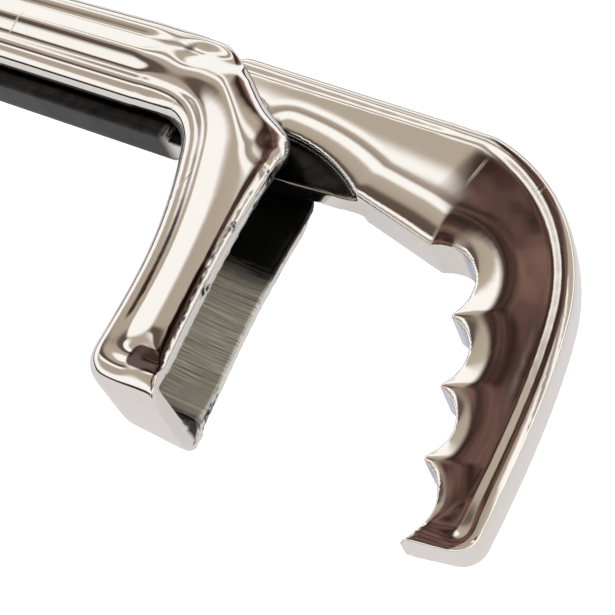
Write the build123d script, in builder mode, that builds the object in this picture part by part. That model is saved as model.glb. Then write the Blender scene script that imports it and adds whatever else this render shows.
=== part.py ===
"""Chromed nutcracker: two crossing levers that turn on one blind pin.

The trough lever is a hollow shell, a slotted handle that turns into a U-channel jaw. The hook lever is a
solid bar that passes between the two walls of that shell and ends in a scalloped hook. At rest the
handles are closed, with the hook lever's handle nested in the slot.

Frame: +Z is the depth of the tool and z = 0 is the outside of its far wall, which it rests on. The origin
is on the pivot axis. The handles run towards -X and the jaws hang towards -Y.
"""

import os

from build123d import *

# Overall sizes, mm
depth = 14.0
handle_length = 118.0
jaw_reach = 37.5
hook_reach = 38.0
hook_span = 55.4

# Shell of the trough lever
wall = 2.0
handle_top = 10.0
handle_bottom = -3.0
jaw_width = 11.4
jaw_foot_x = 6.0
near_round = 3.8
far_round = 2.2
handle_end_round = 5.2
foot_round = 3.4
slot_width = 6.0

# Hook lever
hook_thickness = 7.0
neck_thickness = 3.0
neck_reach = 7.6
grip_thickness = 5.0
grip_top = 5.5
grip_bottom = -5.2
grip_inset = 5.0
head_start = -4.5
head_top = 10.2
arm_width = 7.3
hook_round = 2.4
tooth_round = 0.4
tip_round = 2.6
scallop_depth = 2.8
first_scallop_depth = 3.8
grip_end_round = 4.0

# Pivot
pin_radius = 2.5
running_clearance = 0.05
boss_radius = 3.4
washer_thickness = 1.0
washer_gap = 0.1
neck_clearance = 0.4
pin_head_radius = 4.0
pin_head_height = 1.4
pin_engagement = 3.2

# Levels along Z
mid = depth / 2
near_wall = depth - wall
neck_near = mid + neck_thickness / 2
neck_far = mid - neck_thickness / 2
near_boss = neck_near + washer_gap + washer_thickness
far_boss = neck_far - washer_gap - washer_thickness

# ---------------------------------------------------------------- trough lever

handle_end = -handle_length
foot_lip = (jaw_foot_x + jaw_width, -jaw_reach)
outer_corner = (12.1, -4.0)
shoulder_x = -9.0
slot_top = 2.0
slot_end_x = 3.0
slot_bottom = -11.0
overlap = 0.1


def on_closed_side(rim):
    """Tell whether a rim follows the handle, the web or the foot, not the lip or the shoulder."""
    centre = rim.center()
    return centre.X < jaw_foot_x + foot_round and min(centre.X, centre.Y) < 0


def draw_web_side(inset):
    """Draw foot corner, web, inner corner and handle bottom, moved into the shell by inset."""
    foot = (jaw_foot_x + inset, inset - jaw_reach)
    web_top = (0.9 * inset - 1.9, 0.45 * inset - 8.2)
    crotch = (0.7 * inset - 6.6, 0.7 * inset - 3.6)
    crotch_end = (-14.0, handle_bottom + inset)
    web = Spline(foot, (3.5 + inset, -22), web_top, tangents=((-0.12, 1), (-0.5, 1)))
    Spline(web @ 1, crotch, crotch_end, tangents=((-0.5, 1), (-1, 0)))
    Line(crotch_end, (handle_end + inset, handle_bottom + inset))
    Line((handle_end + inset, handle_bottom + inset), (handle_end + inset, handle_top - inset))
    Line((handle_end + inset, handle_top - inset), (shoulder_x, handle_top - inset))
    return foot


with BuildPart() as trough_lever:
    # Outside of the shell: web side, outer shoulder, lip of the jaw and foot
    with BuildSketch() as shell_outline:
        with BuildLine():
            foot = draw_web_side(0)
            shoulder_start = (shoulder_x, handle_top)
            shoulder_points = (shoulder_start, (-2.2, 7.0), (6.2, 1.0), outer_corner)
            Spline(shoulder_points, tangents=((1, -0.15), (0.3, -1)))
            Spline(outer_corner, (13.4, -17), foot_lip, tangents=((0.05, -1), (0.18, -1)))
            Line(foot_lip, foot)
        make_face()
    extrude(amount=depth)
    upright = trough_lever.edges().filter_by(Axis.Z)
    fillet(upright.group_by(Axis.X)[0], radius=handle_end_round)
    upright = trough_lever.edges().filter_by(Axis.Z)
    fillet(upright.sort_by_distance((*foot, mid))[0], radius=foot_round)
    near_rims = trough_lever.faces().sort_by(Axis.Z)[-1].edges()
    fillet(near_rims.filter_by(on_closed_side), radius=near_round)
    far_rims = trough_lever.faces().sort_by(Axis.Z)[0].edges()
    fillet(far_rims.filter_by(on_closed_side), radius=far_round)

    # Hollow between the walls, open on the side of the other jaw
    mouth_x = jaw_foot_x + 2 * jaw_width
    with BuildSketch(Plane.XY.offset(wall)):
        with BuildLine():
            inner_foot = draw_web_side(wall)
            Polyline(
                (shoulder_x, handle_top - wall),
                (shoulder_x, handle_top + wall),
                (mouth_x, handle_top + wall),
                (mouth_x, wall - jaw_reach),
                inner_foot,
            )
        make_face()
    extrude(amount=depth - 2 * wall, mode=Mode.SUBTRACT)

    # Slot under the handle and in the top of the jaw's web, which the other handle swings out through
    with BuildSketch(Plane.XY.offset(mid - slot_width / 2)):
        with BuildLine():
            Polyline(
                (handle_end + wall, slot_top),
                (handle_end + wall, handle_bottom - wall),
                (-12, handle_bottom - wall),
                (-7, slot_bottom),
                (slot_end_x, slot_bottom),
                (slot_end_x, slot_top),
                close=True,
            )
        make_face()
    extrude(amount=slot_width, mode=Mode.SUBTRACT)

    # Bosses that carry the pin
    with BuildSketch(Plane.XY.offset(near_boss)):
        Circle(boss_radius)
    extrude(amount=near_wall - near_boss + overlap)
    with BuildSketch(Plane.XY.offset(far_boss)):
        Circle(boss_radius)
    extrude(amount=wall - far_boss - overlap)
    with BuildSketch(Plane.XY):
        Circle(pin_radius)
    extrude(amount=near_boss + pin_engagement, mode=Mode.SUBTRACT)
    with BuildSketch(Plane.XY):
        Circle(pin_head_radius)
    extrude(amount=pin_head_height, mode=Mode.SUBTRACT)
trough_lever.part.label = "trough_lever"

# ---------------------------------------------------------------- hook lever

grip_end = handle_end + grip_inset
grip_neck = (-neck_reach - 2, grip_top)
arch_start = (6.5, 0.6)
diagonal_start = (21.7, -4.6)
diagonal_end = (33.4, -7.6)
teeth = [(39.7, -14.8), (42.9, -22.5), (45.6, -30.1)]
tip_inner = (hook_span - arm_width, -hook_reach - 0.4)
tip_outer = (hook_span, -hook_reach + 1.2)


def on_back(rim):
    """Tell whether a rim of the bar follows the crest, the knuckle or the back of the hook."""
    centre = rim.center()
    return centre.X > neck_reach and (centre.Y > 0 or centre.X > hook_span - arm_width / 2)


# Side view of the whole bar: crest, knuckle, back of the hook, tip, scallops, diagonal and grip
with BuildSketch() as bar_outline:
    with BuildLine():
        crest = Line((head_start, head_top), (32, head_top - 1.3))
        knuckle = ThreePointArc(crest @ 1, (43.9, 2.3), (51.0, -8.6))
        Spline(knuckle @ 1, (53.9, -22), tip_outer, tangents=((0.32, -1), (0.06, -1)))
        Line(tip_outer, tip_inner)
        SagittaArc(tip_inner, teeth[2], -scallop_depth)
        SagittaArc(teeth[2], teeth[1], -scallop_depth)
        SagittaArc(teeth[1], teeth[0], -scallop_depth)
        SagittaArc(teeth[0], diagonal_end, -first_scallop_depth)
        Polyline(
            diagonal_end,
            diagonal_start,
            (neck_reach, grip_bottom),
            (grip_end, grip_bottom),
            (grip_end, grip_top),
            grip_neck,
        )
        Spline(grip_neck, crest @ 0, tangents=((1, 0), crest % 0))
    make_face()
    fillet(bar_outline.vertices().group_by(Axis.X)[0], radius=grip_end_round)
    fillet(bar_outline.vertices().sort_by(Axis.X)[-1], radius=tip_round)
    tooth_points = [bar_outline.vertices().sort_by_distance(tooth)[0] for tooth in teeth]
    fillet(tooth_points, radius=tooth_round)

# The part of the bar that is thinner than the head: a disc round the pivot and an arched shoulder
margin = 1.0
arch_end = (diagonal_start[0], diagonal_start[1] - 0.3)
area_top = head_top + margin
area_bottom = grip_bottom - margin
area_end = grip_end - margin
head_root = (-7.0, 5.0)
with BuildSketch() as thin_area:
    Circle(boss_radius + neck_clearance)
    with BuildLine():
        Polyline(
            arch_end,
            (diagonal_start[0], area_bottom),
            (area_end, area_bottom),
            (area_end, area_top),
            (head_root[0], area_top),
            head_root,
            (-3.0, 1.0),
            arch_start,
        )
        ThreePointArc(arch_start, (16.0, -1.5), arch_end)
    make_face()

with BuildPart() as hook_lever:
    # Head and hook at full thickness, with a rounded crest, knuckle and back
    with BuildSketch(Plane.XY.offset(mid - hook_thickness / 2)):
        add(bar_outline.sketch)
    extrude(amount=hook_thickness)
    side_rims = hook_lever.faces().filter_by(Axis.Z).edges()
    fillet(side_rims.filter_by(on_back), radius=hook_round)
    with BuildSketch(Plane.XY.offset(mid - hook_thickness / 2)):
        add(thin_area.sketch)
    extrude(amount=hook_thickness, mode=Mode.SUBTRACT)

    # Neck between the bosses
    neck_length = neck_reach + arch_end[0] + margin
    with BuildSketch(Plane.XY.offset(neck_far)):
        add(bar_outline.sketch)
        with Locations((-neck_reach, 0)):
            Rectangle(neck_length, hook_span, align=(Align.MIN, Align.CENTER), mode=Mode.INTERSECT)
    extrude(amount=neck_thickness)

    # Grip that nests in the slot of the other handle
    with BuildSketch(Plane.XY.offset(mid - grip_thickness / 2)):
        add(bar_outline.sketch)
        with Locations((-neck_reach, 0)):
            Rectangle(handle_length, hook_span, align=(Align.MAX, Align.CENTER), mode=Mode.INTERSECT)
    extrude(amount=grip_thickness)
    with BuildSketch():
        Circle(pin_radius + running_clearance)
    extrude(amount=depth, mode=Mode.SUBTRACT)
hook_lever.part.label = "hook_lever"

# ---------------------------------------------------------------- pin and washers

with BuildPart() as pivot_pin:
    with BuildSketch():
        Circle(pin_head_radius)
    extrude(amount=pin_head_height)
    with BuildSketch():
        Circle(pin_radius)
    extrude(amount=near_boss + pin_engagement)
    chamfer(pivot_pin.faces().sort_by(Axis.Z)[-1].edges(), length=0.4)
pivot_pin.part.label = "pivot_pin"

with BuildPart() as near_washer:
    with BuildSketch(Plane.XY.offset(near_boss - washer_thickness)):
        Circle(boss_radius)
        Circle(pin_radius + running_clearance, mode=Mode.SUBTRACT)
    extrude(amount=washer_thickness)
near_washer.part.label = "near_washer"

with BuildPart() as far_washer:
    with BuildSketch(Plane.XY.offset(far_boss)):
        Circle(boss_radius)
        Circle(pin_radius + running_clearance, mode=Mode.SUBTRACT)
    extrude(amount=washer_thickness)
far_washer.part.label = "far_washer"

os.makedirs("parts", exist_ok=True)
for piece in (trough_lever, hook_lever, pivot_pin, near_washer, far_washer):
    export_step(piece.part, f"parts/{piece.part.label}.step")
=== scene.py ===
"""Looks for the chromed nutcracker: polished lever meshes, plating with wear and painted shade, brushed trough,
studio.
"""

import math

import bpy
import numpy as np
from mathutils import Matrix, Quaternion, Vector
from mathutils.kdtree import KDTree


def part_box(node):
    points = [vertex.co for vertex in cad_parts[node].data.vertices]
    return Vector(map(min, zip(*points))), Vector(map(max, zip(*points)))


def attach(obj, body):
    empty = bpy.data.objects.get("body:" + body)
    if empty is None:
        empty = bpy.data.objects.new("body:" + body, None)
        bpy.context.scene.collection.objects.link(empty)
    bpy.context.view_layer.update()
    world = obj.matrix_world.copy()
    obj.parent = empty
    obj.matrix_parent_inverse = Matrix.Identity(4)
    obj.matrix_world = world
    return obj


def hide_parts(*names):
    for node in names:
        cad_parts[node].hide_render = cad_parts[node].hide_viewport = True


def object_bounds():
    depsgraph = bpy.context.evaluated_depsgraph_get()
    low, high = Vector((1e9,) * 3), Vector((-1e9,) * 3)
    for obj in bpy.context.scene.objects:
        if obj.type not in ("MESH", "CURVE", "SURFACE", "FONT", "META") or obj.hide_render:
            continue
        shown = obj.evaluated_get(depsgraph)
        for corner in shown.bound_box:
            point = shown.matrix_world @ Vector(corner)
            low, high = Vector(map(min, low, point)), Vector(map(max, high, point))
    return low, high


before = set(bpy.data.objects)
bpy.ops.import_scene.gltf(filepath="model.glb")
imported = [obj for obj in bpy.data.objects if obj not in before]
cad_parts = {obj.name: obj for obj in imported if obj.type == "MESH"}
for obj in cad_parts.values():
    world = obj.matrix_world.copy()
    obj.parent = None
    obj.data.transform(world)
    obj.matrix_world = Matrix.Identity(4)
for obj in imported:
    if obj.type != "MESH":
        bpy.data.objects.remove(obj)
cad_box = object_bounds()

MM = 0.001
SHELL = "trough_lever"
BAR = "hook_lever"
shell_low, shell_high = (Vector(corner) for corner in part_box(SHELL))
bar_low, bar_high = (Vector(corner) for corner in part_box(BAR))
depth = shell_high.z - shell_low.z
mid = (shell_high.z + shell_low.z) / 2
wall = 2.0 * MM
half_slot = 3.2 * MM

# Places along X and Y in the part's frame
joint_x = -8 * MM
shoulder_x = -9 * MM
lip_x = 11 * MM
corner_x = 12.5 * MM
inside_top = 8.6 * MM
outline_spacing = 0.3 * MM


# ------------------------------------------------------------------ meshes


def settle(piece):
    """Replace the piece's mesh by what its modifiers make of it."""
    graph = bpy.context.evaluated_depsgraph_get()
    mesh = bpy.data.meshes.new_from_object(piece.evaluated_get(graph))
    old = piece.data
    piece.modifiers.clear()
    piece.data = mesh
    mesh.name = piece.name
    bpy.data.meshes.remove(old)


def remeshed_copy(node, name, voxel):
    """A new object with the node's shape and an even mesh."""
    piece = bpy.data.objects.new(name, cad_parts[node].data.copy())
    bpy.context.scene.collection.objects.link(piece)
    piece.data.materials.clear()
    remesh = piece.modifiers.new("remesh", "REMESH")
    remesh.mode = "VOXEL"
    remesh.voxel_size = voxel
    settle(piece)
    return piece


def wear_smooth(piece, passes):
    """Wear the edges round, as polishing does."""
    smooth = piece.modifiers.new("smooth", "SMOOTH")
    smooth.factor = 0.5
    smooth.iterations = passes
    settle(piece)


def soften_near(piece, centre, reach, passes):
    """Even out the surface round a point in the XY plane."""
    points = points_of(piece.data)
    distance = np.hypot(points[:, 0] - centre[0], points[:, 1] - centre[1])
    weights = ramp_between(distance, reach, 0.45 * reach)
    group = piece.vertex_groups.new(name="soften")
    for index in np.nonzero(weights > 0.01)[0]:
        group.add([int(index)], float(weights[index]), "REPLACE")
    smooth = piece.modifiers.new("soften", "SMOOTH")
    smooth.vertex_group = "soften"
    smooth.factor = 0.5
    smooth.iterations = passes
    settle(piece)
    piece.vertex_groups.clear()


def points_of(mesh):
    flat = np.empty(len(mesh.vertices) * 3)
    mesh.vertices.foreach_get("co", flat)
    return flat.reshape(-1, 3)


def store_points(mesh, points):
    mesh.vertices.foreach_set("co", points.ravel())
    mesh.update()


def outline_points(node, level, spacing):
    """Points along the edge of the node's flat face at that height, each with its outward normal, in XY."""
    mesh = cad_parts[node].data
    seen = {}
    for polygon in mesh.polygons:
        corners = [mesh.vertices[v].co for v in polygon.vertices]
        if any(abs(corner.z - level) > 1e-5 for corner in corners):
            continue
        for start, end in zip(corners, corners[1:] + corners[:1]):
            key = tuple(sorted(tuple(round(c, 7) for c in corner[:2]) for corner in (start, end)))
            seen.setdefault(key, []).append((start, end, polygon.center.copy()))
    found = []
    for uses in seen.values():
        if len(uses) > 1:
            continue
        start, end, centre = uses[0]
        along = (end - start).normalized()
        normal = Vector((along.y, -along.x, 0))
        if normal.dot(start - centre) < 0:
            normal = -normal
        steps = max(1, int((end - start).length / spacing))
        for step in range(steps):
            point = start.lerp(end, step / steps)
            found.append((point.x, point.y, normal.x, normal.y))
    return found


def edge_distance(points, edge):
    """Distance in the XY plane from each point to the nearest edge point."""
    tree = KDTree(len(edge))
    for index, (x, y, *_) in enumerate(edge):
        tree.insert((x, y, 0), index)
    tree.balance()
    return np.array([tree.find((x, y, 0))[2] for x, y in points[:, :2]])


def crown(points, distance, width, drop, middle, core, full):
    """Lower the faces near an edge, so that each wall is domed. Nothing moves within core of the middle."""
    share = np.clip(1 - distance / width, 0, 1) ** 2
    height = points[:, 2] - middle
    outside = np.clip((np.abs(height) - core) / (full - core), 0, 1)
    points[:, 2] -= np.sign(height) * outside * share * drop


def roll_edge(points, distance, radius):
    """Roll the outer faces inwards near an edge."""
    share = np.clip(1 - distance / radius, 0, 1)
    height = points[:, 2] - mid
    outside = np.clip((np.abs(height) - half_slot) / (depth / 2 - half_slot), 0, 1)
    points[:, 2] -= np.sign(height) * outside * radius * (1 - np.sqrt(1 - share * share)) * 0.8


def round_inner_foot(points):
    """Round the inside corner between the far wall and the end wall of the jaw."""
    radius = 4.2 * MM
    floor_z = shell_low.z + wall
    end_y = shell_low.y + wall
    x, y, z = points[:, 0], points[:, 1], points[:, 2]
    inside = (x > 6 * MM) & (x < 40 * MM)
    along = y - end_y
    up = z - floor_z
    tolerance = 0.35 * MM
    on_floor = inside & (np.abs(up) < tolerance) & (along > -tolerance) & (along < radius)
    on_end = inside & (np.abs(along) < tolerance) & (up > tolerance) & (up < radius)
    lift = radius - np.sqrt(radius**2 - (radius - np.clip(along, 0, radius)) ** 2)
    push = radius - np.sqrt(radius**2 - (radius - np.clip(up, 0, radius)) ** 2)
    share = (1 - 1 / np.sqrt(2)) * radius
    points[:, 2] += np.where(on_floor, np.minimum(lift, share), 0)
    points[:, 1] += np.where(on_floor & (along < share), share - along, 0)
    points[:, 1] += np.where(on_end, np.minimum(push, share), 0)
    points[:, 2] += np.where(on_end & (up < share), share - up, 0)


def store_mask(mesh, name, values):
    layer = mesh.attributes.new(name, "FLOAT", "POINT")
    layer.data.foreach_set("value", values.astype(np.float32))


def normals_of(mesh):
    flat = np.empty(len(mesh.vertices) * 3)
    mesh.vertex_normals.foreach_get("vector", flat)
    return flat.reshape(-1, 3)


def ramp_between(values, low, high):
    """0 at low, 1 at high and a smooth step between them, for low above or below high."""
    share = np.clip((values - low) / (high - low), 0, 1)
    return share * share * (3 - 2 * share)


def mask_shell(mesh):
    """Where the shell is bare inside, where its lip is worn, where shade is painted into the trough towards the
    joint and the foot, and where a dark reflection is painted along the near rim.
    """
    points = points_of(mesh)
    normals = normals_of(mesh)
    x, y = points[:, 0], points[:, 1]
    height = points[:, 2] - mid
    inner = depth / 2 - wall
    towards_middle = -normals[:, 2] * np.sign(height)
    between = ramp_between(np.abs(height), inner + 0.25 * MM, inner)
    in_jaw = between * np.maximum(normals[:, 0], normals[:, 1]) * (y < inside_top) * (x > joint_x)
    in_jaw = in_jaw * ramp_between(y, shell_low.y + 1.5 * MM, shell_low.y + 2.0 * MM)
    in_handle = between * (x <= joint_x) * (y > -2 * MM) * (y < inside_top) * np.abs(normals[:, 1])
    facing_in = np.maximum(np.maximum(towards_middle, in_jaw), in_handle)
    store_mask(mesh, "bare", ramp_between(facing_in, 0.35, 0.65))
    # Painted shade: the trough's inside is marked to go near black towards the joint and at the end of the
    # foot, where shade falls.
    foot_painted_shade = 0.8 * ramp_between(y, shell_low.y + 5.5 * MM, shell_low.y + 2.5 * MM)
    store_mask(mesh, "painted_trough_shade", np.maximum(ramp_between(y, -20 * MM, -11 * MM), foot_painted_shade))
    # Painted dark reflection: a band along the near rim, growing towards the foot, darkened to stand for the
    # shaded table reflected there.
    rim = [p for p in outline_points(SHELL, shell_high.z, outline_spacing) if p[0] > corner_x]
    band = ramp_between(edge_distance(points, rim), 1.7 * MM, 1.0 * MM) * (height > inner - 1 * MM)
    band = band * ramp_between(y, -12 * MM, -26 * MM)
    store_mask(mesh, "painted_rim_reflection", band * ramp_between(normals[:, 0], 0.75, 0.5))
    in_wall = ramp_between(np.abs(height), inner - 0.2 * MM, inner + 0.2 * MM)
    on_lip = ramp_between(normals[:, 0], 0.35, 0.7) * in_wall
    store_mask(mesh, "lip", on_lip * (x > 10 * MM) * ramp_between(y, -3 * MM, -7 * MM))


def mask_bar(mesh):
    """Where the bar gets painted shade, near black round the joint and on the grip, and where it is ground in
    the scallops.
    """
    points = points_of(mesh)
    normals = normals_of(mesh)
    x, y = points[:, 0], points[:, 1]
    height = np.abs(points[:, 2] - mid)
    # Painted shade: the neck faces and the whole grip are marked near black, standing in for the shade inside
    # the trough lever.
    on_neck = ramp_between(height, 2.3 * MM, 1.9 * MM) * ramp_between(np.abs(normals[:, 2]), 0.6, 0.85)
    grip = ramp_between(x, -6 * MM, -9 * MM)
    on_neck = on_neck * (x < 22.5 * MM) * (y < 1.3 * MM)
    store_mask(mesh, "painted_joint_shade", np.maximum(on_neck, grip))
    ground = ramp_between(-normals[:, 0], 0.15, 0.45) * (x > 34 * MM) * (y < -7 * MM)
    store_mask(mesh, "ground", ground * ramp_between(np.abs(normals[:, 2]), 0.75, 0.5))


def finish_piece(piece, node, body):
    piece.data.polygons.foreach_set("use_smooth", [True] * len(piece.data.polygons))
    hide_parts(node)
    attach(piece, body)


def at_shoulder_start(x, y):
    """Tell whether an outline point is on the short step where the handle's rounded edge ends."""
    return abs(x - shoulder_x) < 0.8 * MM and y > 6.4 * MM


def on_shoulder(x, y):
    """Tell whether an outline point is on the sloping shoulder or the corner below it."""
    return shoulder_x < x < corner_x and y > max(-5 * MM, -0.75 * x - 1 * MM)


def make_shell():
    """The trough lever with domed walls, a rolled shoulder and lips, and worn edges."""
    voxel = 0.3 * MM
    piece = remeshed_copy(SHELL, "trough_lever_plated", voxel)
    points = points_of(piece.data)
    edge = outline_points(SHELL, shell_high.z, outline_spacing)
    lip = [p for p in edge if p[0] > lip_x]
    web = [p for p in edge if p[0] <= lip_x and not at_shoulder_start(p[0], p[1])]
    shoulder = [p for p in edge if on_shoulder(p[0], p[1])]
    crown(points, edge_distance(points, web), 7.0 * MM, 1.3 * MM, mid, half_slot, depth / 2)
    crown(points, edge_distance(points, lip), 4.0 * MM, 0.4 * MM, mid, half_slot, depth / 2)
    wider = 1.9 * MM * ramp_between(points[:, 0], -5.5 * MM, shoulder_x)
    roll_edge(points, edge_distance(points, shoulder), 1.7 * MM + wider)
    roll_edge(points, edge_distance(points, lip), 1.0 * MM)
    round_inner_foot(points)
    store_points(piece.data, points)
    wear_smooth(piece, 10)
    soften_near(piece, (-8.5 * MM, 8 * MM), 10 * MM, 140)
    soften_near(piece, (shell_high.x - 8 * MM, shell_low.y + 3 * MM), 6 * MM, 30)
    mask_shell(piece.data)
    return piece


def make_bar():
    """The hook lever with a domed head and hook, and worn edges."""
    voxel = 0.28 * MM
    neck_end = 7 * MM
    core = 1.6 * MM
    piece = remeshed_copy(BAR, "hook_lever_plated", voxel)
    points = points_of(piece.data)
    edge = outline_points(BAR, bar_high.z, outline_spacing)
    back = [p for p in edge if p[2] + 0.5 * p[3] > 0 and (p[0] > neck_end or p[1] > 6 * MM)]
    front = [p for p in edge if p[2] + 0.5 * p[3] <= 0 and p[0] > neck_end]
    half = (bar_high.z - bar_low.z) / 2
    crown(points, edge_distance(points, back), 13.0 * MM, 1.35 * MM, mid, core, half)
    crown(points, edge_distance(points, front), 5.5 * MM, 0.8 * MM, mid, core, half)
    store_points(piece.data, points)
    wear_smooth(piece, 8)
    soften_near(piece, (30 * MM, 5 * MM), 6 * MM, 25)
    mask_bar(piece.data)
    return piece


# ------------------------------------------------------------------ materials


class Tree:
    """Small helper that adds and links the nodes of a material or the world."""

    def __init__(self, tree):
        self.tree = tree

    def add(self, kind, inputs=(), **settings):
        node = self.tree.nodes.new(kind)
        for key, value in settings.items():
            setattr(node, key, value)
        for key, value in dict(inputs).items():
            if isinstance(value, bpy.types.NodeSocket):
                self.tree.links.new(value, node.inputs[key])
            else:
                node.inputs[key].default_value = value
        return node

    def ramp(self, source, low, high, low_colour=(0, 0, 0, 1), high_colour=(1, 1, 1, 1)):
        ramp = self.add("ShaderNodeValToRGB", {"Fac": source})
        ramp.color_ramp.elements[0].position = low
        ramp.color_ramp.elements[0].color = low_colour
        ramp.color_ramp.elements[1].position = high
        ramp.color_ramp.elements[1].color = high_colour
        return ramp.outputs["Color"]

    def bands(self, source, stops):
        """A colour ramp of many stops, each a position and a colour."""
        ramp = self.add("ShaderNodeValToRGB", {"Fac": source})
        elements = ramp.color_ramp.elements
        for index, (position, colour) in enumerate(stops):
            stop = elements[index] if index < 2 else elements.new(position)
            stop.position = position
            stop.color = (*colour, 1)
        return ramp.outputs["Color"]

    def span(self, source, low, high):
        """0 at low and 1 at high, for low above or below high."""
        inputs = {"Value": source, "From Min": low, "From Max": high}
        return self.add("ShaderNodeMapRange", inputs).outputs[0]

    def place(self, scale=(1, 1, 1), turn=(0, 0, 0)):
        where = self.add("ShaderNodeTexCoord").outputs["Object"]
        mapping = self.add("ShaderNodeMapping", {"Vector": where, "Scale": scale, "Rotation": turn})
        return mapping.outputs["Vector"]

    def noise(self, vector, scale, detail=2.0, roughness=0.5):
        inputs = {"Vector": vector, "Scale": scale, "Detail": detail, "Roughness": roughness}
        return self.add("ShaderNodeTexNoise", inputs).outputs["Fac"]

    def mask(self, name):
        return self.add("ShaderNodeAttribute", attribute_name=name).outputs["Fac"]

    def mix(self, share, first, second):
        return self.add("ShaderNodeMix", {0: share, 6: first, 7: second}, data_type="RGBA").outputs[2]

    def blend(self, share, first, second):
        return self.add("ShaderNodeMix", {0: share, 2: first, 3: second}, data_type="FLOAT").outputs[0]

    def maths(self, operation, *values):
        return self.add("ShaderNodeMath", enumerate(values), operation=operation).outputs[0]


class Nodes(Tree):
    """The nodes of a new material round its own shader."""

    def __init__(self, name):
        self.material = bpy.data.materials.new(name)
        self.material.use_nodes = True
        super().__init__(self.material.node_tree)
        self.shader = self.tree.nodes["Principled BSDF"]

    def link(self, source, socket):
        self.tree.links.new(source, self.shader.inputs[socket])


def hairlines(nodes):
    """Roughness and bump of polished plating: faint clouds and patches of fine scratches."""
    cloud = nodes.noise(nodes.place(), 60, 3)
    patch = nodes.ramp(nodes.noise(nodes.place(), 130, 1), 0.55, 0.66)
    scratches = 0.0
    for turn, stretch in ((0.35, 900), (1.15, 1300), (2.4, 1100)):
        fine = nodes.noise(nodes.place(scale=(stretch, 14, 14), turn=(0, 0, turn)), 1.0, 1.0)
        crests = nodes.ramp(fine, 0.70, 0.74)
        scratches = nodes.maths("ADD", scratches, nodes.maths("MULTIPLY", crests, patch))
    base = nodes.add("ShaderNodeMapRange", {"Value": cloud, "To Min": 0.035, "To Max": 0.09}).outputs[0]
    return nodes.maths("ADD", base, nodes.maths("MULTIPLY", scratches, 0.18)), scratches


def shell_material():
    """Warm plating outside, brushed bare metal inside, flaked plating along the lips, painted shade in the
    trough and a painted dark reflection along the near rim.
    """
    nodes = Nodes("shell_plating")
    rough, scratches = hairlines(nodes)
    bare = nodes.mask("bare")
    lines = nodes.noise(nodes.place(scale=(90, 3600, 90), turn=(0, 0, 0.16)), 1.0, 3, 0.7)
    broad = nodes.noise(nodes.place(scale=(260, 420, 260)), 1.0, 2)
    brushed = nodes.ramp(lines, 0.36, 0.62, (0.34, 0.32, 0.26, 1), (1.0, 0.98, 0.88, 1))
    brushed = nodes.mix(nodes.ramp(broad, 0.35, 0.75), brushed, (0.58, 0.56, 0.50, 1))
    # Painted shade: the brushed inside goes near black where the trough-shade mask is set, with a ragged edge
    # from the brush lines.
    streaks = nodes.maths("MULTIPLY", nodes.maths("SUBTRACT", lines, 0.5), 0.9)
    streaky_trough_shade = nodes.maths("ADD", nodes.mask("painted_trough_shade"), streaks)
    brushed = nodes.mix(nodes.ramp(streaky_trough_shade, 0.30, 0.75), brushed, (0.006, 0.006, 0.006, 1))
    # Painted dark reflection: the plating darkens along the near rim band, with a blotchy edge.
    blotches = nodes.maths("MULTIPLY", nodes.maths("SUBTRACT", broad, 0.5), 0.8)
    blotchy_rim_reflection = nodes.maths("ADD", nodes.mask("painted_rim_reflection"), blotches)
    plated = nodes.mix(nodes.ramp(blotchy_rim_reflection, 0.35, 0.7), (0.82, 0.78, 0.74, 1), (0.09, 0.06, 0.055, 1))
    colour = nodes.mix(bare, plated, brushed)
    patch = nodes.ramp(nodes.noise(nodes.place(scale=(300, 120, 300)), 1.0, 3, 0.6), 0.54, 0.57)
    grain = nodes.ramp(nodes.noise(nodes.place(), 1900, 2), 0.30, 0.52)
    flake = nodes.maths("MULTIPLY", nodes.maths("MULTIPLY", patch, grain), nodes.mask("lip"))
    nodes.link(nodes.mix(flake, colour, (0.03, 0.028, 0.045, 1)), "Base Color")
    nodes.link(nodes.blend(bare, 1.0, 0.25), "Metallic")
    rough = nodes.blend(bare, rough, 0.30)
    nodes.link(nodes.blend(flake, rough, 0.5), "Roughness")
    relief = nodes.maths("MULTIPLY", nodes.maths("MULTIPLY", lines, bare), 2.0)
    relief = nodes.maths("ADD", relief, scratches)
    height = nodes.maths("SUBTRACT", relief, nodes.maths("MULTIPLY", flake, 2.0))
    bump = nodes.add("ShaderNodeBump", {"Height": height, "Strength": 0.3, "Distance": 0.00003})
    nodes.link(bump.outputs[0], "Normal")
    return nodes.material


def bar_material():
    """Warm plating, painted shade (near black) round the joint and on the grip, ground steel in the scallops.
    """
    nodes = Nodes("bar_plating")
    nodes.shader.inputs["Metallic"].default_value = 1.0
    rough, scratches = hairlines(nodes)
    painted_joint_shade = nodes.mask("painted_joint_shade")
    ground = nodes.mask("ground")
    cut = nodes.noise(nodes.place(scale=(500, 500, 60)), 1.0, 3)
    steel = nodes.ramp(cut, 0.3, 0.7, (0.34, 0.37, 0.46, 1), (0.72, 0.76, 0.86, 1))
    colour = nodes.mix(ground, (0.84, 0.80, 0.76, 1), steel)
    # Painted shade: near black with faint mottling where the joint-shade mask is set.
    cloud = nodes.noise(nodes.place(), 500, 3)
    joint_shade_colour = nodes.ramp(cloud, 0.3, 0.7, (0.012, 0.012, 0.013, 1), (0.035, 0.032, 0.032, 1))
    nodes.link(nodes.mix(painted_joint_shade, colour, joint_shade_colour), "Base Color")
    rough = nodes.blend(ground, rough, 0.27)
    nodes.link(nodes.blend(painted_joint_shade, rough, 0.3), "Roughness")
    bump = nodes.add("ShaderNodeBump", {"Height": scratches, "Strength": 0.25, "Distance": 0.00002})
    nodes.link(bump.outputs[0], "Normal")
    return nodes.material


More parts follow.
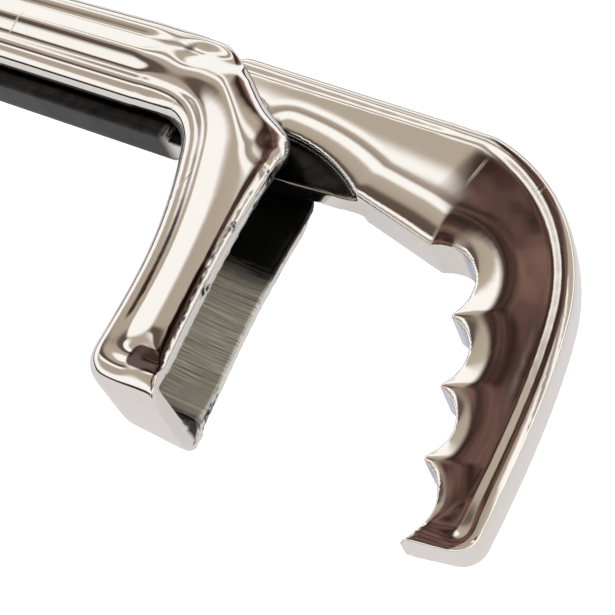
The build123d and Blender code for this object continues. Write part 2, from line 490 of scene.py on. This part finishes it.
def turned_steel(name, colour, grooves):
    """Bare steel with fine turned rings round the pivot and darker stains."""
    nodes = Nodes(name)
    nodes.shader.inputs["Metallic"].default_value = 1.0
    inputs = {"Vector": nodes.place(), "Scale": grooves, "Distortion": 1.5, "Detail": 2.0}
    rings = nodes.add("ShaderNodeTexWave", inputs, wave_type="RINGS", rings_direction="Z")
    turned = rings.outputs["Fac"]
    stain = nodes.ramp(nodes.noise(nodes.place(), 420, 3), 0.42, 0.7)
    dark = tuple(0.45 * part for part in colour)
    nodes.link(nodes.mix(stain, (*colour, 1), (*dark, 1)), "Base Color")
    rough = nodes.add("ShaderNodeMapRange", {"Value": turned, "To Min": 0.22, "To Max": 0.36}).outputs[0]
    nodes.link(rough, "Roughness")
    bump = nodes.add("ShaderNodeBump", {"Height": turned, "Strength": 0.2, "Distance": 0.00002})
    nodes.link(bump.outputs[0], "Normal")
    return nodes.material


def dress(node, material):
    """Give a CAD node that stays its procedural material."""
    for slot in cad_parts[node].material_slots:
        slot.material = material


# ------------------------------------------------------------------ stage


def make_floor():
    """A pale floor that looks white to the camera and is greyer in reflections."""
    size = 3.0
    mesh = bpy.data.meshes.new("floor")
    corners = [(-size, -size, 0), (size, -size, 0), (size, size, 0), (-size, size, 0)]
    mesh.from_pydata(corners, [], [(0, 1, 2, 3)])
    floor = bpy.data.objects.new("floor", mesh)
    floor.location.z = cad_box[0][2] - 0.2 * MM
    bpy.context.scene.collection.objects.link(floor)
    nodes = Nodes("floor")
    nodes.shader.inputs["Base Color"].default_value = (0.55, 0.57, 0.62, 1)
    nodes.shader.inputs["Roughness"].default_value = 0.9
    nodes.shader.inputs["Emission Color"].default_value = (0.98, 0.99, 1, 1)
    seen = nodes.add("ShaderNodeLightPath").outputs["Is Camera Ray"]
    nodes.link(nodes.blend(seen, 0.50, 1.10), "Emission Strength")
    mesh.materials.append(nodes.material)


def make_light():
    """A studio world: a white ring with a dark band, strips across the ceiling and a dark patch at one side."""
    world = bpy.data.worlds.new("studio")
    bpy.context.scene.world = world
    world.use_nodes = True
    nodes = Tree(world.node_tree)
    where = nodes.add("ShaderNodeTexCoord").outputs["Generated"]
    x, y, z = nodes.add("ShaderNodeSeparateXYZ", {0: where}).outputs

    # Ring by height, shifted a little by noise so that its edges wander
    ring = (
        (0.00, (1.0, 1.0, 1.0)),
        (0.14, (1.0, 1.0, 1.0)),
        (0.17, (0.03, 0.02, 0.018)),
        (0.27, (0.06, 0.035, 0.03)),
        (0.31, (1.0, 1.0, 1.0)),
        (0.62, (1.0, 1.0, 0.99)),
        (0.70, (0.46, 0.39, 0.33)),
        (1.00, (0.40, 0.34, 0.28)),
    )
    drift = nodes.maths("MULTIPLY_ADD", nodes.noise(where, 1.4, 1.0), 0.35, z)
    sky = nodes.bands(drift, ring)

    # Strips along X on the ceiling, short of the zenith
    strips = (
        (0.00, (0.42, 0.36, 0.30)),
        (0.43, (0.44, 0.38, 0.31)),
        (0.45, (1.0, 1.0, 0.98)),
        (0.51, (1.0, 1.0, 0.98)),
        (0.53, (0.10, 0.07, 0.06)),
        (0.59, (0.12, 0.09, 0.07)),
        (0.62, (0.42, 0.36, 0.30)),
        (0.69, (0.48, 0.42, 0.35)),
        (0.71, (1.0, 1.0, 0.98)),
        (0.75, (1.0, 1.0, 0.98)),
        (0.765, (0.30, 0.25, 0.21)),
        (0.79, (0.44, 0.38, 0.32)),
        (0.80, (1.0, 1.0, 0.98)),
        (0.815, (1.0, 1.0, 0.98)),
        (0.83, (0.46, 0.40, 0.33)),
    )
    along = nodes.maths("MULTIPLY_ADD", y, 0.5, 0.5)
    overhead = nodes.span(nodes.maths("MULTIPLY_ADD", y, 0.3, z), 0.57, 0.66)
    striped = nodes.maths("MULTIPLY", overhead, nodes.span(z, 0.90, 0.84))
    sky = nodes.mix(striped, sky, nodes.bands(along, strips))

    # Mottled dark patch on the side of the handles
    mottle = nodes.noise(where, 6.0, 2.0)
    dark = nodes.ramp(mottle, 0.38, 0.66, (0.035, 0.018, 0.016, 1), (0.19, 0.11, 0.09, 1))
    patch = nodes.maths("MULTIPLY", nodes.span(x, -0.46, -0.40), nodes.span(x, -0.02, -0.10))
    patch = nodes.maths("MULTIPLY", patch, nodes.span(z, 0.30, 0.42))
    sky = nodes.mix(patch, sky, dark)

    # Plain white where the camera sees the world itself
    seen = nodes.add("ShaderNodeLightPath").outputs["Is Camera Ray"]
    back = world.node_tree.nodes["Background"]
    world.node_tree.links.new(nodes.mix(seen, sky, (1, 1, 1, 1)), back.inputs["Color"])
    back.inputs["Strength"].default_value = 1.15


def make_camera():
    """Close view of the head, from in front of the hook and above, tilted so the handles run up and left."""
    aim = Vector((25.1, -19.8, 10.0)) * MM
    outward = Vector((0.5379, -0.3531, 0.7655))
    roll = math.radians(-28.2)
    camera = bpy.data.objects.new("camera", bpy.data.cameras.new("camera"))
    camera.location = aim + outward * 155 * MM
    turn = (-outward).to_track_quat("-Z", "Y")
    camera.rotation_mode = "QUATERNION"
    camera.rotation_quaternion = turn @ Quaternion((0, 0, 1), roll)
    camera.data.lens = 85.2
    camera.data.sensor_width = 36
    camera.data.clip_start = 0.005
    camera.data.dof.use_dof = False
    bpy.context.scene.collection.objects.link(camera)
    bpy.context.scene.camera = camera


shell = make_shell()
bar = make_bar()
shell.data.materials.append(shell_material())
bar.data.materials.append(bar_material())
dress("pivot_pin", turned_steel("pin_turned", (0.52, 0.51, 0.49), 1500))
washer_steel = turned_steel("washer_turned", (0.42, 0.42, 0.43), 2200)
dress("near_washer", washer_steel)
dress("far_washer", washer_steel)
finish_piece(shell, SHELL, "trough_body")
finish_piece(bar, BAR, "hook_body")
make_floor()
make_light()
make_camera()
bpy.context.scene.view_settings.view_transform = "Standard"
